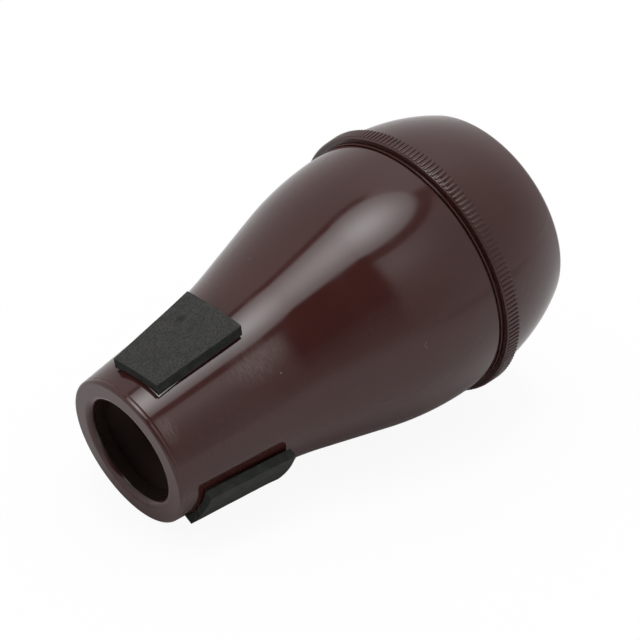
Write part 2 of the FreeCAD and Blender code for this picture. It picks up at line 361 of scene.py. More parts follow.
cap_front = flange_end + SEAM_GAP
grip_end = cap_front + GRIP_LENGTH
gasket_end = flange_end + GASKET_THICKNESS
side_centre = Vector((BODY_RADIUS + SIDE_STAND - SIDE_RADIUS, flange_end + SIDE_WIDEST_FROM_FLANGE))
round_reach = SIDE_RADIUS + GRIP_BACK_ROUND
round_turn = math.asin((grip_end + GRIP_BACK_ROUND - side_centre.y) / round_reach)
round_centre = side_centre + spoke(round_turn, round_reach)
grip_core = round_centre.x
grip_back_radius = BODY_RADIUS + GRIP_STAND
grip_front_radius = grip_back_radius - GRIP_SLOPE
ring_front = grip_front_radius - RIB_DEPTH
ring_back = grip_back_radius - RIB_DEPTH
counterbore = grip_core - COUNTERBORE_WALL
shoulder_centre = side_centre + spoke(SIDE_ANGLE, SIDE_RADIUS - SHOULDER_RADIUS)
crown_reach = CROWN_RADIUS - SHOULDER_RADIUS
crown_half = math.asin(shoulder_centre.x / crown_reach)
crown_turn = QUARTER - crown_half
crown_centre = Vector((0, shoulder_centre.y - crown_reach * math.cos(crown_half)))


def cap_outline():
    bore_turn = math.acos((CAP_BORE_RADIUS - side_centre.x) / (SIDE_RADIUS - CAP_WALL))
    drop = RING_FRONT_DROP
    outside = join(
        bend(crown_centre, CROWN_RADIUS, QUARTER, crown_turn, 26),
        bend(shoulder_centre, SHOULDER_RADIUS, crown_turn, SIDE_ANGLE, 12),
        bend(side_centre, SIDE_RADIUS, SIDE_ANGLE, round_turn, 26),
        bend(round_centre, GRIP_BACK_ROUND, round_turn - HALF_TURN, -QUARTER, 6),
        stretch((grip_core, grip_end), (ring_back - drop, grip_end), COARSE_STEP),
        bend((ring_back - drop, grip_end - drop), drop, QUARTER, 0, 3),
        bend((ring_front - drop, cap_front + drop), drop, 0, -QUARTER, 3),
        stretch((ring_front - drop, cap_front), (counterbore, cap_front), COARSE_STEP),
    )
    inside = join(
        stretch((counterbore, cap_front), (counterbore, gasket_end), COARSE_STEP),
        stretch((counterbore, gasket_end), (CAP_BORE_RADIUS, gasket_end), COARSE_STEP),
        [Vector((CAP_BORE_RADIUS, gasket_end))],
        bend(side_centre, SIDE_RADIUS - CAP_WALL, bore_turn, SIDE_ANGLE, 10),
        bend(shoulder_centre, SHOULDER_RADIUS - CAP_WALL, SIDE_ANGLE, crown_turn, 6),
        bend(crown_centre, CROWN_RADIUS - CAP_WALL, crown_turn, QUARTER, 12),
    )
    outline = join(outside, inside)
    outline[0].x = outline[-1].x = 0
    return outline


def seam_shade_share(radius, station):
    """The cap's front face and bore are painted dark as shade, as the shell's side of the seam is."""
    deep = station < gasket_end and radius < ring_front - RING_FRONT_DROP * 0.8
    return SEAM_SHADE_SHARE if deep else 0.0


cap = turned("mute_cap", cap_outline(), CAP_SEGMENTS, closed=False, inside=seam_shade_share)

gasket_in = CAP_BORE_RADIUS + GASKET_PLAY
gasket_out = counterbore - GASKET_PLAY
gasket_corners = (
    (gasket_in, flange_end, HALF_TURN), (gasket_out, flange_end, -QUARTER),
    (gasket_out, gasket_end, 0), (gasket_in, gasket_end, QUARTER),
)
gasket_runs = []
for corner_radius, corner_station, first_heading in gasket_corners:
    inward = 1 if corner_radius == gasket_in else -1
    upward = 1 if corner_station == flange_end else -1
    corner = Vector((corner_radius + inward * GASKET_ROUND, corner_station + upward * GASKET_ROUND))
    gasket_runs.append(bend(corner, GASKET_ROUND, first_heading, first_heading + QUARTER, 3))
gasket = turned("mute_seal", join(*gasket_runs), GASKET_SEGMENTS)
print("cap faces", len(cap.data.polygons), "seal faces", len(gasket.data.polygons))

# %% [markdown]
# The grip is a ring of 180 straight ribs, so it is made by Geometry Nodes: the modifier sits on
# an object that holds one rib, places a copy at every step round the axis, realizes the copies
# and gives them their material. The rib itself is a small lofted bar with a broad rounded crest.
# Its front end is rolled over in a quarter round, which is what glints along the front of the
# real grip, and its back end is only broken.

# %% Draw one rib of the grip
RIB_COUNT = 180
RIB_SINK = 0.3 * MM
RIB_CREST_EASE = 0.01 * MM
RIB_FRONT_ROUND = 0.5 * MM
RIB_BACK_ROUND = 0.2 * MM
RIB_LEAST_HEIGHT = 0.03 * MM
RIB_SET_BACK = 0.22 * MM
RIB_ROOT_SHARE = 0.72
RIB_SHOULDER_SHARE = 0.56
RIB_CREST_SHARE = 0.34
SHOULDER_DROP_SHARE = 0.22
RIB_FRONT_STEPS = (0.0, 0.35, 0.7, 1.0)

rib_step = 2 * math.pi / RIB_COUNT


def rib_section(crest_radius, floor_radius, station):
    """Eight points across a rib, from one root over the crest to the other."""
    crest_radius = max(crest_radius - RIB_CREST_EASE, floor_radius + RIB_LEAST_HEIGHT)
    profile = (
        (floor_radius - RIB_SINK, RIB_ROOT_SHARE),
        (floor_radius, RIB_ROOT_SHARE),
        (crest_radius - (crest_radius - floor_radius) * SHOULDER_DROP_SHARE, RIB_SHOULDER_SHARE),
        (crest_radius, RIB_CREST_SHARE),
    )
    points = [(radius, -share / 2) for radius, share in profile]
    points += [(radius, share / 2) for radius, share in reversed(profile)]
    return [
        Vector((radius, math.sin(share * rib_step) * radius, station)) for radius, share in points
    ]


def one_rib():
    sections = []
    for turn in RIB_FRONT_STEPS:
        rolled = RIB_FRONT_ROUND * (1 - math.sin(turn * QUARTER))
        set_back = RIB_FRONT_ROUND * (1 - math.cos(turn * QUARTER))
        floor_drop = RING_FRONT_DROP * (1 - turn)
        station = cap_front + RIB_SET_BACK + set_back
        sections.append(rib_section(grip_front_radius - rolled, ring_front - floor_drop, station))
    sections.append(rib_section(grip_back_radius, ring_back, grip_end - RIB_BACK_ROUND))
    back_crest, back_floor = grip_back_radius - RIB_BACK_ROUND, ring_back - RING_FRONT_DROP
    sections.append(rib_section(back_crest, back_floor, grip_end))
    data = bmesh.new()
    rows = [[data.verts.new(point) for point in section] for section in sections]
    for first, second in zip(rows, rows[1:]):
        for index in range(len(first)):
            after = (index + 1) % len(first)
            data.faces.new((first[index], first[after], second[after], second[index]))
    data.faces.new(rows[0])
    data.faces.new(list(reversed(rows[-1])))
    bmesh.ops.recalc_face_normals(data, faces=data.faces)
    mesh = bpy.data.meshes.new("grip_ribs")
    data.to_mesh(mesh)
    data.free()
    return in_the_scene("grip_ribs", mesh)


grip_ribs = one_rib()
print("faces in one rib", len(grip_ribs.data.polygons))

# %% [markdown]
# Four finishes follow, each built from nodes on Object coordinates. A Mapping node of the
# Texture kind undoes the mute's lean, so every pattern can be drawn on the upright mute: there
# Z runs along the axis, and whatever hardly changes across X and Y lies in rings round it.

# %% Set up node helpers
lean_turn = place.to_euler()


def cleared(owner):
    """The node tree of a material or a world, emptied."""
    owner.use_nodes = True
    owner.node_tree.nodes.clear()
    return owner.node_tree


def new_material(name):
    """An empty node material with its shader and a vector on the upright mute."""
    material = bpy.data.materials.new(name)
    tree = cleared(material)
    output = tree.nodes.new("ShaderNodeOutputMaterial")
    shader = tree.nodes.new("ShaderNodeBsdfPrincipled")
    tree.links.new(shader.outputs["BSDF"], output.inputs["Surface"])
    coordinates = tree.nodes.new("ShaderNodeTexCoord")
    upright = tree.nodes.new("ShaderNodeMapping")
    upright.vector_type = "TEXTURE"
    upright.inputs["Location"].default_value = mouth_centre
    upright.inputs["Rotation"].default_value = lean_turn
    tree.links.new(coordinates.outputs["Object"], upright.inputs["Vector"])
    return material, tree, shader, upright.outputs["Vector"]


def scaled(tree, vector, scale):
    """The vector stretched by a scale for each axis."""
    node = tree.nodes.new("ShaderNodeMapping")
    node.inputs["Scale"].default_value = scale
    tree.links.new(vector, node.inputs["Vector"])
    return node.outputs["Vector"]


def clouds(tree, vector, scale, detail=4.0, roughness=0.55):
    """Noise from 0 to 1."""
    node = tree.nodes.new("ShaderNodeTexNoise")
    node.inputs["Scale"].default_value = scale
    node.inputs["Detail"].default_value = detail
    node.inputs["Roughness"].default_value = roughness
    tree.links.new(vector, node.inputs["Vector"])
    return node.outputs["Fac"]


def cells(tree, vector, scale):
    """A node that splits the space into random cells."""
    node = tree.nodes.new("ShaderNodeTexVoronoi")
    node.inputs["Scale"].default_value = scale
    tree.links.new(vector, node.inputs["Vector"])
    return node


def carried(tree, attribute):
    """A number that the mesh carries in an attribute."""
    node = tree.nodes.new("ShaderNodeAttribute")
    node.attribute_name = attribute
    return node.outputs["Fac"]


def spread(tree, value, low, high, new_low, new_high):
    """A value carried from one range to another, and held there."""
    node = tree.nodes.new("ShaderNodeMapRange")
    node.inputs["From Min"].default_value = low
    node.inputs["From Max"].default_value = high
    node.inputs["To Min"].default_value = new_low
    node.inputs["To Max"].default_value = new_high
    tree.links.new(value, node.inputs["Value"])
    return node.outputs["Result"]


def math_of(tree, operation, *values):
    """A Math node on its values, each a socket or a number."""
    node = tree.nodes.new("ShaderNodeMath")
    node.operation = operation
    for socket, value in zip(node.inputs, values):
        if isinstance(value, (int, float)):
            socket.default_value = value
        else:
            tree.links.new(value, socket)
    return node.outputs["Value"]


def step_up(tree, value, edge, blur):
    """0 below an edge and 1 above it, with a soft change over a blur."""
    node = tree.nodes.new("ShaderNodeMapRange")
    node.interpolation_type = "SMOOTHSTEP"
    node.inputs["From Min"].default_value = edge - blur
    node.inputs["From Max"].default_value = edge + blur
    tree.links.new(value, node.inputs["Value"])
    return node.outputs["Result"]


def between(tree, value, low, high, blur):
    """1 between two edges and 0 outside them."""
    edges = (step_up(tree, value, edge, blur) for edge in (low, high))
    return math_of(tree, "SUBTRACT", *edges)


def far_from(tree, vector, centre, reach):
    """The distance from a centre, in reaches."""
    node = tree.nodes.new("ShaderNodeMapping")
    node.vector_type = "TEXTURE"
    node.inputs["Location"].default_value = centre
    node.inputs["Scale"].default_value = reach
    tree.links.new(vector, node.inputs["Vector"])
    length = tree.nodes.new("ShaderNodeVectorMath")
    length.operation = "LENGTH"
    tree.links.new(node.outputs["Vector"], length.inputs[0])
    return length.outputs["Value"]


def mixed(tree, share, first, second):
    """A colour between two others."""
    node = tree.nodes.new("ShaderNodeMix")
    node.data_type = "RGBA"
    tree.links.new(share, node.inputs["Factor"])
    for socket, value in ((node.inputs[6], first), (node.inputs[7], second)):
        if isinstance(value, tuple):
            socket.default_value = (*value, 1)
        else:
            tree.links.new(value, socket)
    return node.outputs[2]


def bumped(tree, shader, height, distance, strength=1.0, below=None):
    """A bump of a height in metres on the shader, over another bump if there is one."""
    node = tree.nodes.new("ShaderNodeBump")
    node.inputs["Strength"].default_value = strength
    node.inputs["Distance"].default_value = distance
    tree.links.new(height, node.inputs["Height"])
    if below is not None:
        tree.links.new(below, node.inputs["Normal"])
    tree.links.new(node.outputs["Normal"], shader.inputs["Normal"])
    return node.outputs["Normal"]


# %% [markdown]
# The shell and the cap are one plastic: nearly black maroon, polished, with a clear reflection.
# Its own colour is in the body of the plastic and hardly varies. What makes it look handled is in
# the gloss: fine polishing rings that catch the light, a thin haze, a slow waviness of the
# moulding that bends long highlights a little, and a few specks of dust. The rings are real wear
# in roughness and bump, and their pale colour is painted sheen. Two patches of rings are
# plain to see on the real neck, so they get places of their own, and so do a curled hair scratch
# and the brightest speck. The bore and the seam get painted shade, the inside of the wall painted light.

# %% Mix the maroon plastic
MAROON = (0.064, 0.0172, 0.0148)
MAROON_DEEP = (0.055, 0.0148, 0.0127)
# Painted shade for the bore and the seam, and painted light for the inside of the wall.
RECESS_SHADE_COLOUR = (0.029, 0.0185, 0.0148)
INSIDE_PAINTED_LIGHT = (0.18, 0.115, 0.095)
DUST_AND_SHEEN = (0.34, 0.31, 0.29)
GLOSS = 0.07
HAZE = 0.15
RUBBED_HAZE = 0.12
RUBBED_SHEEN_SHARE = 0.17
POLISHED_PATCHES = (
    (33 * MM, math.radians(41), (5.5 * MM, 5.5 * MM, 9.5 * MM)),
    (3.8 * MM, math.radians(45), (4.2 * MM, 4.2 * MM, 2.6 * MM)),
)
HAIR_SCRATCH = (75.7 * MM, math.radians(77.5))
HAIR_CURL = 0.9 * MM
BRIGHT_SPECK = (37.2 * MM, math.radians(54.1))
BRIGHT_SPECK_SIZE = 0.28 * MM
DUST_CELLS = 240
CLEAN_SHARE = 0.985
RING_STRETCH = (480, 480, 1700)
FAINT_STRETCH = (38, 38, 22)
FAINT_SHARE = 0.12
RING_HEIGHT = 0.012 * MM
DRIFT_SCALE = 34
HAZE_SCALE = 120
WAVE_SCALE = 30
WAVE_HEIGHT = 0.35 * MM
PLASTIC_IOR = 1.54


def shell_spot(station, angle):
    """A spot on the upright shell, from its station and its angle from the top."""
    radius = shell_radius(station)
    return Vector((radius * math.cos(angle), radius * math.sin(angle), station))


def dust_and_scratches(tree, upright):
    """1 on the specks and the hair scratch, 0 elsewhere."""
    grid = cells(tree, upright, DUST_CELLS)
    pick = tree.nodes.new("ShaderNodeSeparateColor")
    tree.links.new(grid.outputs["Color"], pick.inputs["Color"])
    chosen = math_of(tree, "GREATER_THAN", pick.outputs["Red"], CLEAN_SHARE)
    dots = spread(tree, grid.outputs["Distance"], 0.03, 0.05, 0.5, 0)
    specks = math_of(tree, "MULTIPLY", chosen, dots)
    centre = shell_spot(*HAIR_SCRATCH)
    curl = between(tree, far_from(tree, upright, centre, (HAIR_CURL,) * 3), 0.93, 1.0, 0.03)
    end = centre + Vector((0, 0, -HAIR_CURL))
    kept = spread(tree, far_from(tree, upright, end, (HAIR_CURL * 1.5,) * 3), 0.8, 1, 0.85, 0)
    hair = math_of(tree, "MULTIPLY", curl, kept)
    bright = far_from(tree, upright, shell_spot(*BRIGHT_SPECK), (BRIGHT_SPECK_SIZE,) * 3)
    marks = math_of(tree, "MAXIMUM", specks, hair)
    return math_of(tree, "MAXIMUM", marks, spread(tree, bright, 0.5, 1, 0.6, 0))


def polishing_rings(tree, upright):
    """Fine rings round the mute, only where it was polished last."""
    rings = clouds(tree, scaled(tree, upright, RING_STRETCH), 1, 2.5)
    faint = clouds(tree, scaled(tree, upright, FAINT_STRETCH), 1, 3)
    where = spread(tree, faint, 0.5, 0.7, 0, FAINT_SHARE)
    for station, angle, reach in POLISHED_PATCHES:
        away = far_from(tree, upright, shell_spot(station, angle), reach)
        patch = spread(tree, away, 0.35, 1.1, 1, 0)
        where = math_of(tree, "MAXIMUM", where, patch)
    return math_of(tree, "MULTIPLY", spread(tree, rings, 0.36, 0.66, 0.25, 1), where)


def maroon_plastic():
    material, tree, shader, upright = new_material("maroon_plastic")
    drift = clouds(tree, upright, DRIFT_SCALE, 3)
    colour = mixed(tree, spread(tree, drift, 0.35, 0.65, 0, 1), MAROON, MAROON_DEEP)
    rubbed = polishing_rings(tree, upright)
    # The pale colour on the polishing rings is painted sheen.
    colour = mixed(tree, math_of(tree, "MULTIPLY", rubbed, RUBBED_SHEEN_SHARE), colour, DUST_AND_SHEEN)
    colour = mixed(tree, dust_and_scratches(tree, upright), colour, DUST_AND_SHEEN)
    # Painted shade darkens the bore and the seam, and painted light makes the inside of the wall pale.
    inside = carried(tree, PAINTED_SHADING_ATTRIBUTE)
    colour = mixed(tree, spread(tree, inside, 0.1, 0.5, 0, 1), colour, RECESS_SHADE_COLOUR)
    colour = mixed(tree, spread(tree, inside, 0.5, 0.85, 0, 1), colour, INSIDE_PAINTED_LIGHT)
    tree.links.new(colour, shader.inputs["Base Color"])
    haze = spread(tree, clouds(tree, upright, HAZE_SCALE, 4), 0.4, 0.75, GLOSS, HAZE)
    worn = math_of(tree, "MULTIPLY_ADD", rubbed, RUBBED_HAZE, haze)
    tree.links.new(worn, shader.inputs["Roughness"])
    shader.inputs["IOR"].default_value = PLASTIC_IOR
    wave = bumped(tree, shader, clouds(tree, upright, WAVE_SCALE, 1.5), WAVE_HEIGHT, 0.3)
    bumped(tree, shader, rubbed, RING_HEIGHT, 0.5, wave)
    return material


plastic = maroon_plastic()
print("nodes in the plastic", len(plastic.node_tree.nodes))

# %% [markdown]
# Closed-cell foam looks matt and even from a distance, but close up it is all small cells. Two
# scales of Voronoi cells give the pits, and soft clouds give the worn, paler patches. The sides
# are cut through the cells and are a little darker than the skin, and their colour also holds painted
# shade, so each pad's mesh carries an attribute that says where it is cut. Rubber and the adhesive film get the
# same care in a smaller way.

# %% Mix the foam, the rubber and the film
FOAM_PALE = (0.076, 0.074, 0.068)
FOAM_DARK = (0.031, 0.032, 0.0295)
# The cut colours hold painted shade for the pads' sides.
FOAM_CUT_SHADE = (0.019, 0.0215, 0.0185)
FOAM_WORN_CUT_SHADE = (0.034, 0.037, 0.033)
RUBBER = (0.014, 0.013, 0.0125)
RUBBER_BLOOM = (0.024, 0.023, 0.022)
FILM_WHITE = (0.66, 0.66, 0.62)
FILM_GREY = (0.48, 0.48, 0.45)
CUT_SHADE_ATTRIBUTE = "cut_side_shade"
PIT_CELLS = ((3600, 0.6), (7000, 0.45))
PIT_DEPTH = 0.06 * MM
GRAIN_SCALE = 2200
GRAIN_DEPTH = 0.08 * MM
TONE_SCALE = 420
FOAM_MATT = 0.88
FOAM_SHEEN = 0.35
BLOOM_SCALE = 220
RUBBER_GRAIN = 2400
RUBBER_SKIN = 0.02 * MM
STAIN_SCALE = 400
FILM_GRAIN = 1800
FILM_SKIN = 0.01 * MM
PRESSED_SPOT = (27.1 * MM, -3.3 * MM, 26.1 * MM)
PRESSED_REACH = (3 * MM, 1.5 * MM, 1.9 * MM)


def grey_foam():
    material, tree, shader, upright = new_material("grey_foam")
    heights = []
    for scale, reach in PIT_CELLS:
        grid = cells(tree, upright, scale)
        heights.append(spread(tree, grid.outputs["Distance"], 0, reach, 0, 1))
    pits = math_of(tree, "ADD", *heights)
    grain = clouds(tree, upright, GRAIN_SCALE, 3)
    tone = clouds(tree, upright, TONE_SCALE, 5)
    base = mixed(tree, spread(tree, tone, 0.3, 0.7, 0.5, 1), FOAM_DARK, FOAM_PALE)
    flecks = spread(tree, grain, 0.42, 0.6, 0.0, 0.9)
    skin = mixed(tree, flecks, base, FOAM_DARK)
    dent = spread(tree, far_from(tree, upright, PRESSED_SPOT, PRESSED_REACH), 0.2, 1, 0.9, 0)
    skin = mixed(tree, dent, skin, FOAM_CUT_SHADE)
    # The cut sides, partly real and mostly painted shade, and a share of some pads' faces take this colour.
    cut = mixed(tree, spread(tree, tone, 0.45, 0.65, 0, 1), FOAM_CUT_SHADE, FOAM_WORN_CUT_SHADE)
    colour = mixed(tree, carried(tree, CUT_SHADE_ATTRIBUTE), skin, cut)
    tree.links.new(colour, shader.inputs["Base Color"])
    shader.inputs["Roughness"].default_value = FOAM_MATT
    shader.inputs["Specular IOR Level"].default_value = FOAM_SHEEN
    coarse = bumped(tree, shader, pits, PIT_DEPTH, 0.7)
    bumped(tree, shader, grain, GRAIN_DEPTH, 0.5, coarse)
    return material


def black_rubber():
    material, tree, shader, upright = new_material("black_rubber")
    bloom = spread(tree, clouds(tree, upright, BLOOM_SCALE, 4), 0.4, 0.7, 0, 1)
    tree.links.new(mixed(tree, bloom, RUBBER, RUBBER_BLOOM), shader.inputs["Base Color"])
    tree.links.new(spread(tree, bloom, 0, 1, 0.42, 0.6), shader.inputs["Roughness"])
    bumped(tree, shader, clouds(tree, upright, RUBBER_GRAIN, 3), RUBBER_SKIN, 0.4)
    return material


def white_film():
    material, tree, shader, upright = new_material("white_film")
    stain = spread(tree, clouds(tree, upright, STAIN_SCALE, 4), 0.4, 0.7, 0, 1)
    tree.links.new(mixed(tree, stain, FILM_WHITE, FILM_GREY), shader.inputs["Base Color"])
    tree.links.new(spread(tree, stain, 0, 1, 0.3, 0.5), shader.inputs["Roughness"])
    bumped(tree, shader, clouds(tree, upright, FILM_GRAIN, 2), FILM_SKIN, 0.3)
    return material


foam, rubber, film = grey_foam(), black_rubber(), white_film()
for piece in (shell, cap):
    piece.data.materials.append(plastic)
gasket.data.materials.append(rubber)
print("materials", [material.name for material in bpy.data.materials])

# %% [markdown]
# Now the tree that turns one rib into the whole grip. Its sizes are named inputs of the node
# group: how many ribs, and how much their height may vary. The variation is random with a fixed
# seed, so the ring comes out the same each time.

# %% Carry the rib round the axis
RIB_SEED = 7


def new_group(name, inputs):
    """A node group with named inputs and a geometry out.

    It comes with its two end nodes and the identifier of each input by the input's name.
    """
    group = bpy.data.node_groups.new(name, "GeometryNodeTree")
    sockets = group.interface
    sockets.new_socket(name="Geometry", in_out="OUTPUT", socket_type="NodeSocketGeometry")
    identifiers = {}
    for title, kind, value in inputs:
        socket = sockets.new_socket(name=title, in_out="INPUT", socket_type="NodeSocket" + kind)
        if value is not None:
            socket.default_value = value
        identifiers[title] = socket.identifier
    start, end = group.nodes.new("NodeGroupInput"), group.nodes.new("NodeGroupOutput")
    return group, start, end, identifiers


def wire(group, pairs):
    """Links from pairs of an output and an input."""
    for output, socket in pairs:
        group.links.new(output, socket)


def dress_up(group, geometry, start, end):
    """The last steps of a group: its copies made real, and its material set."""
    real = group.nodes.new("GeometryNodeRealizeInstances")
    dress = group.nodes.new("GeometryNodeSetMaterial")
    wire(group, (
        (geometry, real.inputs["Geometry"]),
        (real.outputs["Geometry"], dress.inputs["Geometry"]),
        (start.outputs["Material"], dress.inputs["Material"]),
        (dress.outputs["Geometry"], end.inputs["Geometry"]),
    ))


def rib_ring_group():
    group, start, end, identifiers = new_group("rib_ring", (
        ("Rib", "Geometry", None),
        ("Rib count", "Int", RIB_COUNT),
        ("Height variation", "Float", 0.0),
        ("Material", "Material", None),
    ))
    points = group.nodes.new("GeometryNodePoints")
    index = group.nodes.new("GeometryNodeInputIndex")
    turn = group.nodes.new("ShaderNodeCombineXYZ")
    vary = group.nodes.new("FunctionNodeRandomValue")
    vary.inputs["Seed"].default_value = RIB_SEED
    vary.inputs[3].default_value = 1
    size = group.nodes.new("ShaderNodeCombineXYZ")
    size.inputs["Z"].default_value = 1
    copies = group.nodes.new("GeometryNodeInstanceOnPoints")
    count = start.outputs["Rib count"]
    step = math_of(group, "DIVIDE", 2 * math.pi, count)
    wire(group, (
        (count, points.inputs["Count"]),
        (math_of(group, "MULTIPLY", index.outputs["Index"], step), turn.inputs["Z"]),
        (math_of(group, "SUBTRACT", 1, start.outputs["Height variation"]), vary.inputs[2]),
        (vary.outputs[1], size.inputs["X"]),
        (vary.outputs[1], size.inputs["Y"]),
        (points.outputs["Points"], copies.inputs["Points"]),
        (start.outputs["Rib"], copies.inputs["Instance"]),
        (turn.outputs["Vector"], copies.inputs["Rotation"]),
        (size.outputs["Vector"], copies.inputs["Scale"]),
    ))
    dress_up(group, copies.outputs["Instances"], start, end)
    return group, identifiers


def evaluated_mesh(piece):
    """The result of a piece's modifiers as a plain mesh."""
    bpy.context.view_layer.update()
    evaluated = piece.evaluated_get(bpy.context.evaluated_depsgraph_get())
    return bpy.data.meshes.new_from_object(evaluated)


def frozen(piece):
    """The piece with its modifiers' result as its own plain mesh, put in place."""
    mesh = evaluated_mesh(piece)
    mesh.name = piece.name
    piece.modifiers.clear()
    piece.data = mesh
    mesh.transform(place)
    mesh.shade_smooth()
    mesh.set_sharp_from_angle(angle=SHARP)
    return piece


HEIGHT_VARIATION_SHARE = 0.0006
ring_group, ring_names = rib_ring_group()
ring = grip_ribs.modifiers.new("rib_ring", "NODES")
ring.node_group = ring_group
ring[ring_names["Rib count"]] = RIB_COUNT
ring[ring_names["Height variation"]] = HEIGHT_VARIATION_SHARE
ring[ring_names["Material"]] = plastic
frozen(grip_ribs)
print("grip faces", len(grip_ribs.data.polygons))

# %% [markdown]
# The thread shows only when the cap is unscrewed. A ridge that follows a path is also work for
# Geometry Nodes: a spiral curve and a four-sided section swept along it, at a scale that fades
# at both ends as a cut thread runs out. The spigot's ridge stands outward and the cap's
# inward, half a turn apart, so the two slide past each other.

# %% Wind the two thread ridges
THREAD_PITCH = 4 * MM
THREAD_TURNS = 1.5
THREAD_HEIGHT = 0.9 * MM
THREAD_BASE = 2 * MM
THREAD_CREST = 1.2 * MM
THREAD_SINK = 0.4 * MM
THREAD_START_GAP = 0.2 * MM
THREAD_RUN_OUT_SHARE = 0.05
THREAD_END_SHARE = 0.12
THREAD_POINTS_A_TURN = 96

thread_station = gasket_end + THREAD_START_GAP + THREAD_BASE / 2


def thread_group():
    group, start, end, identifiers = new_group("thread_ridge", (
        ("Section", "Geometry", None),
        ("Root radius", "Float", SPIGOT_RADIUS),
        ("Climb", "Float", THREAD_PITCH * THREAD_TURNS),
        ("Turns", "Float", THREAD_TURNS),
        ("Points a turn", "Int", THREAD_POINTS_A_TURN),
        ("Run out share", "Float", THREAD_RUN_OUT_SHARE),
        ("Material", "Material", None),
    ))
    spiral = group.nodes.new("GeometryNodeCurveSpiral")
    upright = group.nodes.new("GeometryNodeSetCurveNormal")
    upright.mode = "Z_UP"
    share = group.nodes.new("GeometryNodeSplineParameter").outputs["Factor"]
    nearest_end = math_of(group, "MINIMUM", share, math_of(group, "SUBTRACT", 1, share))
    fade = group.nodes.new("ShaderNodeMapRange")
    fade.interpolation_type = "SMOOTHSTEP"
    fade.inputs["To Min"].default_value = THREAD_END_SHARE
    sweep = group.nodes.new("GeometryNodeCurveToMesh")
    sweep.inputs["Fill Caps"].default_value = True
    wire(group, (
        (start.outputs["Root radius"], spiral.inputs["Start Radius"]),
        (start.outputs["Root radius"], spiral.inputs["End Radius"]),
        (start.outputs["Climb"], spiral.inputs["Height"]),
        (start.outputs["Turns"], spiral.inputs["Rotations"]),
        (start.outputs["Points a turn"], spiral.inputs["Resolution"]),
        (spiral.outputs["Curve"], upright.inputs["Curve"]),
        (upright.outputs["Curve"], sweep.inputs["Curve"]),
        (nearest_end, fade.inputs["Value"]),
        (start.outputs["Run out share"], fade.inputs["From Max"]),
        (fade.outputs["Result"], sweep.inputs["Scale"]),
        (start.outputs["Section"], sweep.inputs["Profile Curve"]),
    ))
    dress_up(group, sweep.outputs["Mesh"], start, end)
    return group, identifiers


def thread_ridge(name, root_radius, outward, first_angle):
    """A ridge on a spigot, outward 1, or in a bore, outward -1, from its section curve."""
    section = bpy.data.curves.new(name, "CURVE")
    section.dimensions = "2D"
    section.fill_mode = "NONE"
    spline = section.splines.new("POLY")
    corners = (
        (-THREAD_SINK, -THREAD_BASE / 2), (THREAD_HEIGHT, -THREAD_CREST / 2),
        (THREAD_HEIGHT, THREAD_CREST / 2), (-THREAD_SINK, THREAD_BASE / 2),
    )
    spline.points.add(len(corners) - 1)
    for point, (rise, side) in zip(spline.points, corners):
        point.co = (-outward * rise, side, 0, 1)
    spline.use_cyclic_u = True
    piece = in_the_scene(name, section)
    group, names = thread_group()
    wind = piece.modifiers.new("thread_ridge", "NODES")
    wind.node_group = group
    wind[names["Root radius"]] = root_radius
    wind[names["Material"]] = plastic
    mesh = evaluated_mesh(piece)
    bpy.data.objects.remove(piece)
    mesh.transform(Matrix.Rotation(first_angle, 4, "Z"))
    mesh.transform(Matrix.Translation((0, 0, thread_station)))
    data = bmesh.new()
    data.from_mesh(mesh)
    ridge = finished(name, data)
    ridge.data.materials.clear()
    ridge.data.materials.append(plastic)
    return ridge


spigot_thread = thread_ridge("spigot_thread", SPIGOT_RADIUS, 1, HALF_TURN)
cap_thread = thread_ridge("cap_thread", CAP_BORE_RADIUS, -1, 0)
print("thread faces", len(spigot_thread.data.polygons), len(cap_thread.data.polygons))

# %% [markdown]
# The pads are cut by hand from sheet foam and stuck on, so no two are quite alike. Each is a
# trapezoid, wider away from the mouth, that is wrapped round the neck. Where its corners have
# come loose they stand off the plastic a little. The body of the pad is a closed grid of fine
# faces whose edge is rounded over, and small noise gives the faces the give of foam. The four
# numbers of a corner list belong to the mouth end's two corners and then the wide end's two.
# A pad's face shade takes its outer face part of the way to the painted shade of a cut side.

# %% Cut the foam pads
PAD_LENGTH = 27.5 * MM
MOUTH_END_WIDTH = 16.8 * MM
WIDE_END_WIDTH = 21.2 * MM
GLUE_GAP = 0.03 * MM
FILM_THICKNESS = 0.15 * MM
PAD_EDGE_ROUND = 0.22 * MM
PAD_ROWS = 76
PAD_COLUMNS = 54
PAD_LAYERS = 8
FOAM_ROUGHNESS = 0.045 * MM
FINE_GIVE = (900, 0.6)
BROAD_GIVE = (260, 0.9)
FOAM_SHARP = math.radians(50)

# Lengths are in millimetres here and angles in degrees. A trim belongs to the pad's film.
pads = {
    "top": dict(
        angle=1.3, station=7.1, thick=(2.67, 2.58), bends=(94, 111),
        skew=(-1.15, -0.1, -0.65, -0.35), shift=(1.15, 0.3, 0, -0.4),
        stand=(0.45, 0.64, 0.45, 1.03), trim=(1.2, -0.25, 1.6, 1.2), face_shade=0.0,
    ),
    "near": dict(
        angle=123.2, station=4.7, thick=(2.0, 2.4), bends=(66, 80),
        skew=(2.1, 1.1, 1.2, 2.3), shift=(-0.95, 0.35, 1.65, 0),
        stand=(0.9, 0.08, 0.95, 0.1), trim=(0.9, 1, 1.6, 1), face_shade=0.4,
    ),
    "far": dict(
        angle=-120, station=5.5, thick=(2.3, 2.3), bends=(80, 90),
        skew=(0.3, -0.3, 0, 0.2), shift=(0.1, -0.1, 0.2, 0),
        stand=(0.12, 0.1, 0.15, 0.1), trim=(1, 0.9, 1.1, 1), face_shade=0.2,
    ),
}
NO_TRIM = (0, 0, 0, 0)


def blend(first, last, share):
    return first + (last - first) * share


def between_corners(corners, side, share):
    """A length between those of a pad's four corners."""
    mouth_end = blend(corners[0], corners[1], side)
    return blend(mouth_end, blend(corners[2], corners[3], side), share) * MM


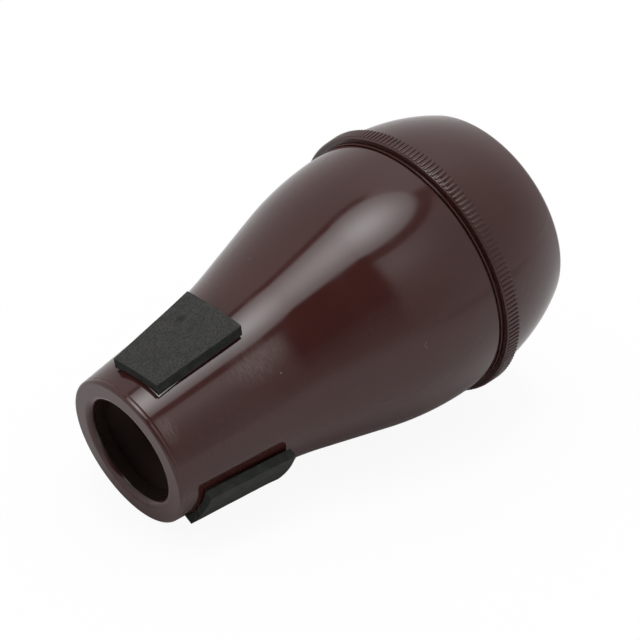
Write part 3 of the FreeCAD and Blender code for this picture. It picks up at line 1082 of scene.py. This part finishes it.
def pad_place(cut, across, share, height_share, lift, trim=NO_TRIM):
    """A point of a pad on the upright mute.

    Across runs from -1 to 1, share from the mouth end to the wide end, height from the under face
    to the outer one.
    """
    side = (across + 1) / 2
    inward = between_corners(trim, side, share)
    half = blend(MOUTH_END_WIDTH, WIDE_END_WIDTH, share) / 2 - inward
    sideways = half * across + between_corners(cut["shift"], side, share)
    station = cut["station"] * MM + blend(inward, PAD_LENGTH - inward, share)
    station += between_corners(cut["skew"], side, share)
    neck = shell_radius(station)
    under = math.sqrt(neck ** 2 - sideways ** 2) + lift
    under += between_corners(cut["stand"], side, share) * across ** 2
    outer = neck + lift + blend(*cut["thick"], share) * MM
    outer -= sideways ** 2 / (2 * blend(*cut["bends"], share) * MM)
    return Vector((blend(under, outer, height_share), sideways, station))


def eased(count, reach):
    """Shares from 0 to 1 with the first and last steps short, for a rounded edge."""
    inner = [reach + (1 - 2 * reach) * index / (count - 2) for index in range(count - 1)]
    return [0.0, *inner, 1.0]


def even(count):
    return [index / count for index in range(count + 1)]


def closed_block(data, heights, rows, columns, spot):
    """A closed grid of faces, its lower and upper face and four sides, and its points."""
    last_layer, last_row, last_column = len(heights) - 1, len(rows) - 1, len(columns) - 1
    points = {}
    for layer, height in enumerate(heights):
        for row, share in enumerate(rows):
            for column, across in enumerate(columns):
                on_rim = row in (0, last_row) or column in (0, last_column)
                if layer in (0, last_layer) or on_rim:
                    point = spot(2 * across - 1, share, height)
                    points[layer, row, column] = data.verts.new(point)

    def quad(first, step, other):
        """A face from its first point and two steps along the grid."""
        both = [one + two for one, two in zip(step, other)]
        corners = ((0, 0, 0), step, both, other)
        keys = [tuple(a + b for a, b in zip(first, corner)) for corner in corners]
        data.faces.new([points[key] for key in keys])

    up, on, over = (1, 0, 0), (0, 1, 0), (0, 0, 1)
    for row in range(last_row):
        for column in range(last_column):
            for layer in (0, last_layer):
                quad((layer, row, column), on, over)
    for layer in range(last_layer):
        for row in range(last_row):
            for column in (0, last_column):
                quad((layer, row, column), up, on)
        for column in range(last_column):
            for row in (0, last_row):
                quad((layer, row, column), over, up)
    return points


def foam_pad(name, cut):
    """A closed block of foam with rounded edges and a little give in its faces."""
    lift = FILM_THICKNESS + 2 * GLUE_GAP

    def spot(across, share, height):
        return pad_place(cut, across, share, height, lift)

    rows = eased(PAD_ROWS, PAD_EDGE_ROUND / PAD_LENGTH)
    columns = eased(PAD_COLUMNS, PAD_EDGE_ROUND / MOUTH_END_WIDTH)
    data = bmesh.new()
    cut_side_shade = data.verts.layers.float.new(CUT_SHADE_ATTRIBUTE)
    points = closed_block(data, even(PAD_LAYERS), rows, columns, spot)
    bmesh.ops.recalc_face_normals(data, faces=data.faces)
    data.normal_update()
    middle = pad_place(cut, 0, 0.5, 0.5, 0)
    (fine, fine_share), (broad, broad_share) = FINE_GIVE, BROAD_GIVE
    for (layer, row, column), vertex in points.items():
        # Sides and underside get the painted shade in full; the outer face gets the pad's own share of it.
        vertex[cut_side_shade] = 1.0 if layer < PAD_LAYERS else cut["face_shade"]
        if layer:
            rough = noise.noise(vertex.co * fine) * fine_share
            rough += noise.noise(vertex.co * broad + middle) * broad_share
            vertex.co += vertex.normal * rough * FOAM_ROUGHNESS
    data.transform(Matrix.Rotation(math.radians(cut["angle"]), 4, "Z"))
    pad = finished(name, data, FOAM_SHARP)
    pad.data.materials.append(foam)
    return pad


foam_pads = {where: foam_pad("foam_" + where, cut) for where, cut in pads.items()}
print("faces in a pad", len(foam_pads["top"].data.polygons))

# %% [markdown]
# The adhesive film under each pad was cut a little smaller than the foam, so it mostly hides. It
# shows only at one corner of the top pad, as a thin pale line. It is a closed sheet that stays on
# the foam, and its four trims say how far each corner is drawn in from the corner of the foam.

# %% Lay the adhesive films
FILM_ROWS = 24
FILM_COLUMNS = 20


def adhesive_film(name, cut):
    """A thin closed sheet under a pad, drawn in from the foam's corners by its trims."""
    def spot(across, share, height):
        return pad_place(cut, across, share, 0, GLUE_GAP + height * FILM_THICKNESS, cut["trim"])

    data = bmesh.new()
    closed_block(data, (0, 1), even(FILM_ROWS), even(FILM_COLUMNS), spot)
    data.transform(Matrix.Rotation(math.radians(cut["angle"]), 4, "Z"))
    sheet = finished(name, data, FOAM_SHARP)
    sheet.data.materials.append(film)
    return sheet


films = {where: adhesive_film("film_" + where, cut) for where, cut in pads.items()}
print("films", sorted(films))

# %% [markdown]
# Every piece rides on the body that carries it, so it moves when the cap is unscrewed. Where a
# piece stands for a node of the frame, that node is hidden.

# %% Fasten the pieces to the frame
for piece, node, body, slot in (
    (shell, "shell", "body", "maroon_plastic"),
    (cap, "end_cap", "cap", "maroon_plastic"),
    (gasket, "cap_gasket", "seal", "black_rubber"),
):
    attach(piece, body)
    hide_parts(node)
for piece, body in ((spigot_thread, "body"), (grip_ribs, "cap"), (cap_thread, "cap")):
    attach(piece, body)
for where, pad in foam_pads.items():
    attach(pad, "body")
    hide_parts("foam_pad_" + where)
for where, sheet in films.items():
    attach(sheet, "body")
    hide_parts("adhesive_film_" + where)
print("pieces fastened")

# %% [markdown]
# The light is a white tent with one round soft light nearly straight above. Its bright middle
# and its edge make the long streak on the shell, the dark frame round it makes the thin dark
# line beside the streak, and the dark opening for the camera makes the broad dark patch below.
# All of that is far away, so it is drawn on the world as a function of direction. Directions near
# the top are laid out flat, as on a map of the pole, so that a disc stays a disc. Broader, softer
# brighter and darker parts of the tent are added as glows, each with an amount, a turn from +Y,
# an angle from straight up and a width in degrees. One level scales all of it. The camera itself
# sees plain white beyond the floor, as in the photograph.

# %% Build the light tent
DEGREE = math.radians(1)
TENT_LEVEL = 0.8
HOT_MIDDLE = (-2.55 * DEGREE, 0.89 * DEGREE, 0)
HOT_LIGHT = 5.3
HOT_WIDTH = 9.74 * DEGREE
DISC_MIDDLE = (-2.3 * DEGREE, 0.4 * DEGREE, 0)
DISC_LIGHT = 1.5
DISC_REACH = 20.3 * DEGREE
DISC_BLUR = 1.4 * DEGREE
FRAME_MIDDLE = (-2.3 * DEGREE, -1.0 * DEGREE, 0)
FRAME_LIGHT = 0.26
FRAME_REACH = 26.6 * DEGREE
FRAME_BLUR = 1.7 * DEGREE
FRAME_GAP = (52, 24, 11)
FRAME_GAP_LIGHT = 1.2
TENT_LIGHT = 0.92
TENT_GLOWS = (
    (0.5, 180, 36, 8),
    (-0.45, 185, 80, 20),
    (0.25, 55, 28, 12),
    (-0.3, 120, 62, 22),
    (-0.12, 0, 60, 25),
)
OPENING_LIGHT = 0.07
OPENING_LOW_LIGHT = 0.5
OPENING_LOW_FROM = 58 * DEGREE
OPENING_LOW_TO = 90 * DEGREE
OPENING_EDGE_FACES = (0.978, 0.015, 0.208)
OPENING_EDGE = 0.03
OPENING_EDGE_BLUR = 0.04
OPENING_END_FACES = (-0.174, 0.985, 0)
OPENING_END_BLUR = 0.06
LEAST_FLAT = 0.0001


def facing(tree, direction, fixed):
    """The cosine between a direction and a fixed one."""
    node = tree.nodes.new("ShaderNodeVectorMath")
    node.operation = "DOT_PRODUCT"
    tree.links.new(direction, node.inputs[0])
    node.inputs[1].default_value = fixed
    return node.outputs["Value"]


def glow(tree, direction, turn, zenith, width):
    """A soft round glow from 0 to 1, at a turn from +Y and an angle from straight up in degrees."""
    turn, zenith, width = turn * DEGREE, zenith * DEGREE, width * DEGREE
    flat = math.sin(zenith)
    centre = (flat * math.sin(turn), flat * math.cos(turn), math.cos(zenith))
    short = math_of(tree, "SUBTRACT", facing(tree, direction, centre), 1)
    away = math_of(tree, "MULTIPLY", short, width ** -2)
    return math_of(tree, "EXPONENT", away)


def weighed(tree, share, first, second):
    """A value between two others, each a socket or a number."""
    step = math_of(tree, "SUBTRACT", second, first)
    return math_of(tree, "MULTIPLY_ADD", step, share, first)


def pole_map(tree, direction, zenith):
    """The direction laid out flat round straight up, its length the angle from there."""
    flat = math_of(tree, "MAXIMUM", math_of(tree, "SINE", zenith), LEAST_FLAT)
    longer = math_of(tree, "DIVIDE", zenith, flat)
    level = scaled(tree, direction, (1, 1, 0))
    node = tree.nodes.new("ShaderNodeVectorMath")
    node.operation = "SCALE"
    tree.links.new(level, node.inputs[0])
    tree.links.new(longer, node.inputs["Scale"])
    return node.outputs["Vector"]


def soft_light(tree, pole):
    """The round light's strength, and 1 inside its edge."""
    reach = far_from(tree, pole, HOT_MIDDLE, (HOT_WIDTH,) * 3)
    square = math_of(tree, "MULTIPLY", reach, reach)
    fall = math_of(tree, "EXPONENT", math_of(tree, "MULTIPLY", square, -0.5))
    strength = math_of(tree, "ADD", math_of(tree, "MULTIPLY", fall, HOT_LIGHT), DISC_LIGHT)
    from_middle = far_from(tree, pole, DISC_MIDDLE, (1, 1, 1))
    inside = math_of(tree, "SUBTRACT", 1, step_up(tree, from_middle, DISC_REACH, DISC_BLUR))
    return strength, inside


def tent_cloth(tree, direction, pole, zenith):
    """The tent beyond the round light: cloth, the light's dark frame and the camera's opening."""
    cloth = TENT_LIGHT
    for amount, *place_and_width in TENT_GLOWS:
        spot = glow(tree, direction, *place_and_width)
        cloth = math_of(tree, "ADD", cloth, math_of(tree, "MULTIPLY", spot, amount))
    gap = step_up(tree, glow(tree, direction, *FRAME_GAP), 0.55, 0.2)
    frame_light = weighed(tree, gap, FRAME_LIGHT, FRAME_GAP_LIGHT)
    from_frame = far_from(tree, pole, FRAME_MIDDLE, (1, 1, 1))
    past_frame = step_up(tree, from_frame, FRAME_REACH, FRAME_BLUR)
    cloth = weighed(tree, past_frame, frame_light, cloth)
    across = facing(tree, direction, OPENING_EDGE_FACES)
    edge = step_up(tree, across, OPENING_EDGE, OPENING_EDGE_BLUR)
    end = step_up(tree, facing(tree, direction, OPENING_END_FACES), 0, OPENING_END_BLUR)
    before_edge, before_end = (math_of(tree, "SUBTRACT", 1, past) for past in (edge, end))
    opening = math_of(tree, "MULTIPLY", before_edge, before_end)
    dark = spread(tree, zenith, OPENING_LOW_FROM, OPENING_LOW_TO, OPENING_LIGHT, OPENING_LOW_LIGHT)
    return weighed(tree, opening, cloth, dark)


def light_tent():
    world = bpy.data.worlds.new("light_tent")
    tree = cleared(world)
    output = tree.nodes.new("ShaderNodeOutputWorld")
    background = tree.nodes.new("ShaderNodeBackground")
    background.inputs["Color"].default_value = (1, 1, 1, 1)
    coordinates = tree.nodes.new("ShaderNodeTexCoord")
    direction = coordinates.outputs["Generated"]
    parts = tree.nodes.new("ShaderNodeSeparateXYZ")
    tree.links.new(direction, parts.inputs["Vector"])
    zenith = math_of(tree, "ARCCOSINE", parts.outputs["Z"])
    pole = pole_map(tree, direction, zenith)
    bright, inside = soft_light(tree, pole)
    strength = weighed(tree, inside, tent_cloth(tree, direction, pole, zenith), bright)
    strength = math_of(tree, "MULTIPLY", strength, TENT_LEVEL)
    path = tree.nodes.new("ShaderNodeLightPath")
    strength = weighed(tree, path.outputs["Is Camera Ray"], strength, 1)
    tree.links.new(strength, background.inputs["Strength"])
    tree.links.new(background.outputs["Background"], output.inputs["Surface"])
    return world


bpy.context.scene.world = light_tent()
print("light tent nodes", len(bpy.context.scene.world.node_tree.nodes))

# %% [markdown]
# The floor is plain white. Out on the near side, where the tent is open, its colour is darker,
# which is painted shade. The real floor looks burnt out to pure white with hardly any shadow left,
# so for camera rays most of its colour is given directly and only a small share of it shows the
# shadow. Reflections in the plastic still see the real, shaded floor, with its painted shade.

# %% Lay the floor
FLOOR_SIZE = 6.0
FLOOR_WHITE = (0.86, 0.86, 0.86)
FLOOR_PAINTED_SHADE = (0.6, 0.6, 0.6)
SHADE_MIDDLE = (0.1, -3.1, 0)
SHADE_REACH = (2.6, 2.95, 1)
SHADOW_SHARE = 0.1
CAMERA_WHITE = 1.03


def white_floor():
    mesh = bpy.data.meshes.new("floor")
    half = FLOOR_SIZE / 2
    corners = [(-half, -half, 0), (half, -half, 0), (half, half, 0), (-half, half, 0)]
    mesh.from_pydata(corners, [], [(0, 1, 2, 3)])
    floor = in_the_scene("floor", mesh)
    material = bpy.data.materials.new("white_floor")
    tree = cleared(material)
    output = tree.nodes.new("ShaderNodeOutputMaterial")
    matt = tree.nodes.new("ShaderNodeBsdfDiffuse")
    coordinates = tree.nodes.new("ShaderNodeTexCoord")
    # Painted shade darkens the floor's colour out on the near side.
    dim = far_from(tree, coordinates.outputs["Object"], SHADE_MIDDLE, SHADE_REACH)
    colour = mixed(tree, spread(tree, dim, 0.85, 1, 0, 1), FLOOR_PAINTED_SHADE, FLOOR_WHITE)
    tree.links.new(colour, matt.inputs["Color"])
    plain_white = tree.nodes.new("ShaderNodeEmission")
    plain_white.inputs["Strength"].default_value = CAMERA_WHITE
    path = tree.nodes.new("ShaderNodeLightPath")
    share = math_of(tree, "MULTIPLY", path.outputs["Is Camera Ray"], 1 - SHADOW_SHARE)
    mix = tree.nodes.new("ShaderNodeMixShader")
    tree.links.new(share, mix.inputs["Fac"])
    tree.links.new(matt.outputs["BSDF"], mix.inputs[1])
    tree.links.new(plain_white.outputs["Emission"], mix.inputs[2])
    tree.links.new(mix.outputs["Shader"], output.inputs["Surface"])
    mesh.materials.append(material)
    return floor


floor = white_floor()
print("floor", floor.name)

# %% [markdown]
# The camera's place, lens and roll come from fitting the outlines of the turned body to the
# photograph, so its numbers are plain measured values: a long lens half a metre away, looking
# down by about a third of a right angle.

# %% Set up the camera
CAMERA_PLACE = Vector((-0.32004, -0.31523, 0.31894))
CAMERA_TURN = math.radians(45.546)
CAMERA_DIP = math.radians(32.213)
CAMERA_ROLL = math.radians(4.039)
CAMERA_LENS_MM = 108.42
SENSOR_MM = 36
NEAREST_SEEN = 0.01

camera_data = bpy.data.cameras.new("camera")
camera_data.lens = CAMERA_LENS_MM
camera_data.sensor_width = SENSOR_MM
camera_data.clip_start = NEAREST_SEEN
camera = in_the_scene("camera", camera_data)
aim = (
    Matrix.Rotation(-CAMERA_TURN, 4, "Z")
    @ Matrix.Rotation(QUARTER - CAMERA_DIP, 4, "X")
    @ Matrix.Rotation(CAMERA_ROLL, 4, "Z")
)
camera.matrix_world = Matrix.Translation(CAMERA_PLACE) @ aim
bpy.context.scene.camera = camera
bpy.context.scene.view_settings.view_transform = "Standard"
print("camera looks along", [round(c, 3) for c in aim @ Vector((0, 0, -1))])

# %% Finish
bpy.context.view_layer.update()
